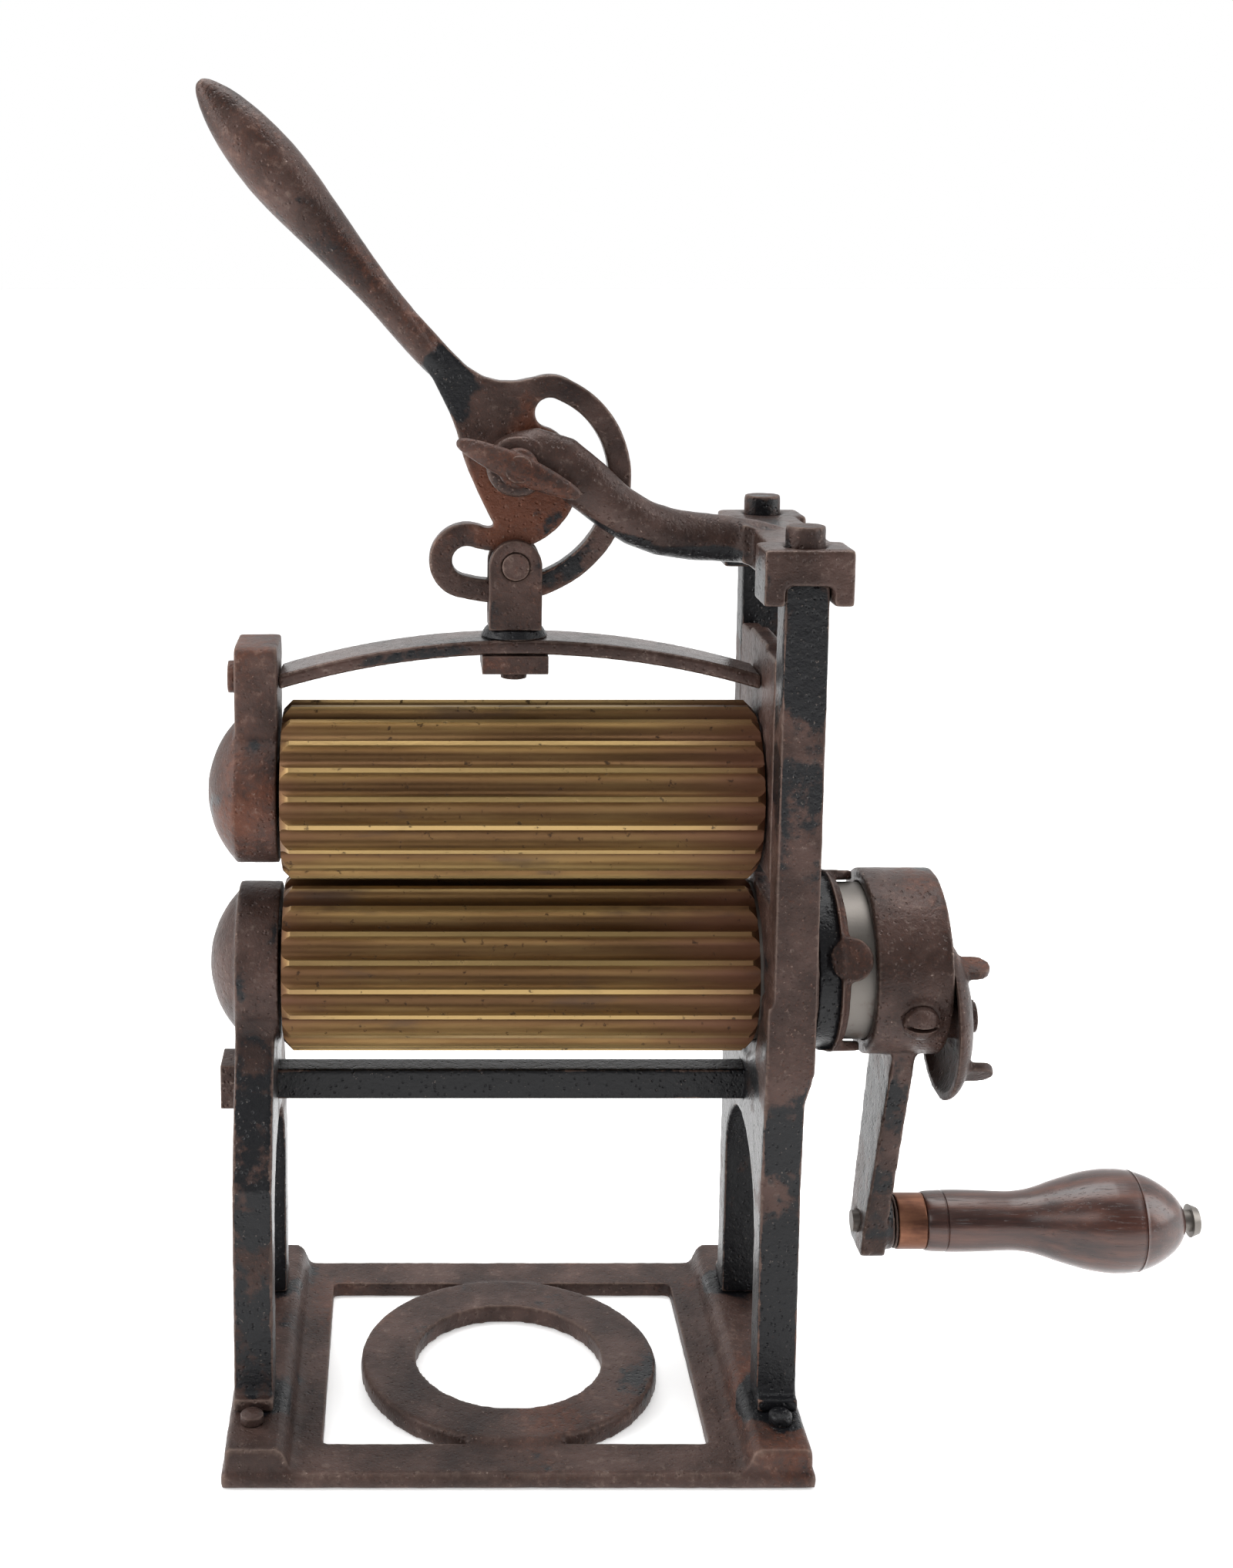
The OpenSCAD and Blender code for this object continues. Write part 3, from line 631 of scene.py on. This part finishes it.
for side in (-1.0, 1.0):
    only(wings)
    bpy.ops.object.mode_set(mode="EDIT")
    bpy.ops.mesh.select_all(action="DESELECT")
    bpy.ops.object.mode_set(mode="OBJECT")
    for face in wings.data.polygons:
        face.select = face.normal.x * side > 0.9
    bpy.ops.object.mode_set(mode="EDIT")
    bpy.ops.mesh.select_mode(type="FACE")
    for reach, taper in wing_steps:
        bpy.ops.mesh.extrude_region_move(TRANSFORM_OT_translate={"value": (side * reach, 0.0, 0.0)})
        bpy.ops.transform.resize(value=(1.0, taper ** 0.5, taper), center_override=blade_middle)
    bpy.ops.object.mode_set(mode="OBJECT")
apply_modifier(wings, "SUBSURF", levels=3, render_levels=3)
hub = bevelled_disc("hub", hub_middle, hub_radius, hub_depth, facing_y, 0.0014)
wing_nut = join("wing_nut_made", wings, hub)
round_off(wing_nut, 0.00045, 5)
wing_nut.rotation_euler = (0.0, nut_tilt, 0.0)
wing_nut.location = (0.0, 0.0, pivot_height)
only(wing_nut)
bpy.ops.object.transform_apply(location=True, rotation=True, scale=True)
wing_iron = patina("wing_iron", 0.10, 0.5)
fit(wing_nut, "clamp_nut", "cast_iron", wing_iron, "wing_nut")

# Link: a forked casting that hangs on the cam slot by a riveted pin, and passes down
# through the arched bar, with a washer above and a square nut below.
link_iron = patina("link_iron", 0.15, 0.4)
casting("lift_link", "carriage", "cast_iron", link_iron, 0.0006, 4, 0.0002)
casting("link_pin", "carriage", "cast_iron", link_iron, 0.0005, 2)
casting("link_washer", "carriage", "black_iron", black_bar, 0.0004, 3)
casting("link_nut", "carriage", "cast_iron", bolt_iron, 0.0006, 3)


# Thrust nut, crank and end plate: rough castings on the lower shaft. The two dished plates
# have finger lugs, and screws with plain slots hold the hub and the outer plate.
def on_arm(finish):
    z = finish.axes()[2]
    return (1.0 - finish.step(z, 0.115, 0.135)) * 0.10


crank_iron = patina("crank_iron", 0.14, 0.3, on_arm, gloss=0.12)
thrust_low, thrust_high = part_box("thrust_nut")
thrust_middle = (thrust_low[2] + thrust_high[2]) / 2
neck_radius = 0.0322
neck_end = 0.1168
fade = 0.0012


# Painted shade: the neck seen inside the thrust nut's hollow, behind the rim, is painted black to
# stand for the shadow in that gap, not for paint.
def painted_shade_in_hollow(finish):
    x, y, z = finish.axes()
    up = z - thrust_middle
    radius = (y * y + up * up) ** 0.5
    inside = 1.0 - finish.step(radius, neck_radius, neck_radius + fade)
    behind = 1.0 - finish.step(x, neck_end, neck_end + fade)
    return inside * behind * 0.6


plate_iron = patina("plate_iron", 0.08, 0.45)
# The thrust nut's iron carries that painted shade in its hollow.
thrust_iron = patina("thrust_iron", 0.08, 0.45, painted_shade_in_hollow)
screw_iron = patina("screw_iron", 0.10, 0.35, gloss=0.08)
casting("thrust_nut", "stand", "cast_iron", thrust_iron, 0.0008, 5, 0.0002)
casting("crank_arm", "crank", "cast_iron", crank_iron, 0.0009, 6, 0.0003)
casting("end_plate", "crank", "cast_iron", plate_iron, 0.0007, 5, 0.0002)
casting("crank_screw", "crank", "cast_iron", screw_iron, 0.00035, 1)
casting("end_plate_screw", "crank", "cast_iron", screw_iron, 0.00035, 1)


# Grip: turned hardwood, stained and varnished dark, with a fine ring cut near each end of
# the bulb. A copper ferrule closes its neck, and it turns on a steel spindle.
def blend(before, start, end, after, share):
    """One number on the smooth curve from start to end, share of the way along."""
    slope = (end - before) * share
    bend = (2 * before - 5 * start + 4 * end - after) * share ** 2
    twist = (3 * start - before - 3 * end + after) * share ** 3
    return 0.5 * (2 * start + slope + bend + twist)


def blend_keys(keys, count):
    """Points on a smooth curve through the keys, count of them from each to the next."""
    points = []
    padded = [keys[0], *keys, keys[-1]]
    for four in zip(padded, padded[1:], padded[2:], padded[3:]):
        for n in range(count):
            points.append(tuple(blend(*numbers, n / count) for numbers in zip(*four)))
    points.append(keys[-1])
    return points


def turned(name, profile, height):
    """A shape turned about X: a ring, extruded and resized along the profile, then closed."""
    bpy.ops.object.select_all(action="DESELECT")
    start = (profile[0][0], 0.0, height)
    bpy.ops.mesh.primitive_circle_add(
        vertices=64, radius=profile[0][1], fill_type="NGON", location=start, rotation=facing_x
    )
    bpy.ops.object.transform_apply(location=True, rotation=True, scale=True)
    piece = bpy.context.active_object
    piece.name = name
    bpy.ops.object.mode_set(mode="EDIT")
    bpy.ops.mesh.select_all(action="SELECT")
    for last, here in zip(profile, profile[1:]):
        move = (here[0] - last[0], 0.0, 0.0)
        bpy.ops.mesh.extrude_region_move(TRANSFORM_OT_translate={"value": move})
        share = here[1] / last[1]
        bpy.ops.transform.resize(value=(1.0, share, share), center_override=(here[0], 0.0, height))
    bpy.ops.mesh.select_all(action="SELECT")
    bpy.ops.mesh.normals_make_consistent(inside=False)
    bpy.ops.object.mode_set(mode="OBJECT")
    bpy.ops.object.shade_smooth_by_angle(angle=math.radians(38.0))
    return piece


grip_low, grip_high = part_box("grip")
grip_height = (grip_low[2] + grip_high[2]) / 2
wood_start = grip_low[0] + 0.011
wood_keys = [
    (0.0000, 0.01030),
    (0.0012, 0.01100),
    (0.0100, 0.01140),
    (0.0200, 0.01130),
    (0.0280, 0.01100),
    (0.0340, 0.01090),
    (0.0400, 0.01160),
    (0.0450, 0.01290),
    (0.0500, 0.01460),
    (0.0560, 0.01640),
    (0.0620, 0.01795),
    (0.0690, 0.01900),
    (0.0750, 0.01915),
    (0.0800, 0.01860),
    (0.0850, 0.01715),
    (0.0895, 0.01505),
    (0.0940, 0.01205),
    (0.0970, 0.00915),
    (0.0990, 0.00625),
]
ring_places = (0.0075, 0.0800)
ring_half = 0.00045
ring_depth = 0.00045
ring_points = [
    (-ring_half, 0.0),
    (-ring_half / 3, ring_depth),
    (ring_half / 3, ring_depth),
    (ring_half, 0.0),
]
widest = 0.01914
wood_profile = []
for x, r in blend_keys(wood_keys, 6):
    if all(abs(x - place) > ring_half * 1.3 for place in ring_places):
        wood_profile.append((x, min(r, widest)))
for place in ring_places:
    near = min(wood_profile, key=lambda point: abs(point[0] - place))
    for offset, cut in ring_points:
        wood_profile.append((place + offset, near[1] - cut))
wood_profile.sort()
wood = Finish("dark_wood")
wood_grain = wood.noise(1.0, 6.0, 0.6, wood.stretched((16.0, 260.0, 260.0)))
wood_pores = wood.noise(1.0, 3.0, 0.6, wood.stretched((90.0, 1500.0, 1500.0)))
wood_cloud = wood.noise(45.0, 4.0)
wood_colour = wood.ramp(
    wood_grain,
    [(0.32, (0.022, 0.008, 0.006)), (0.50, (0.052, 0.018, 0.012)), (0.68, (0.098, 0.036, 0.022))],
)
wood_colour = wood.mix(wood.step(wood_cloud, 0.5, 0.75) * 0.5, wood_colour, (0.028, 0.013, 0.011))
wood_colour = wood.mix(wood.step(wood_pores, 0.60, 0.72) * 0.6, wood_colour, (0.010, 0.005, 0.004))
wood.feed(
    Base_Color=wood_colour,
    Roughness=(0.30 + (wood_cloud - 0.5) * 0.25 + wood_pores * 0.08).clip(),
    Coat_Weight=0.25,
    Coat_Roughness=0.18,
)
wood.relief(wood_grain * 0.3 - wood.step(wood_pores, 0.58, 0.72) * 0.5, 0.00025, 0.7)
handle_wood = turned("grip_wood", [(wood_start + x, r) for x, r in wood_profile], grip_height)
fit(handle_wood, "hand_grip", "wood", wood, "grip")

copper = Finish("old_copper")
copper_tone = copper.noise(70.0, 5.0)
copper_streak = copper.noise(1.0, 4.0, 0.6, copper.stretched((60.0, 400.0, 400.0)))
copper.feed(
    Base_Color=copper.ramp(
        copper_tone * 0.6 + copper_streak * 0.4,
        [(0.34, (0.080, 0.034, 0.022)), (0.52, (0.200, 0.088, 0.052)), (0.70, (0.330, 0.160, 0.095))],
    ),
    Roughness=(0.32 + copper_tone * 0.25).clip(),
    Metallic=0.85,
)
copper.relief(copper_tone * 0.4 + copper_streak * 0.4, 0.0002, 0.6)
casting("grip_ferrule", "hand_grip", "copper", copper, 0.0004, 2)
casting("spindle_washer", "crank", "cast_iron", bolt_iron, 0.0003, 1)
dress("grip_spindle", steel)
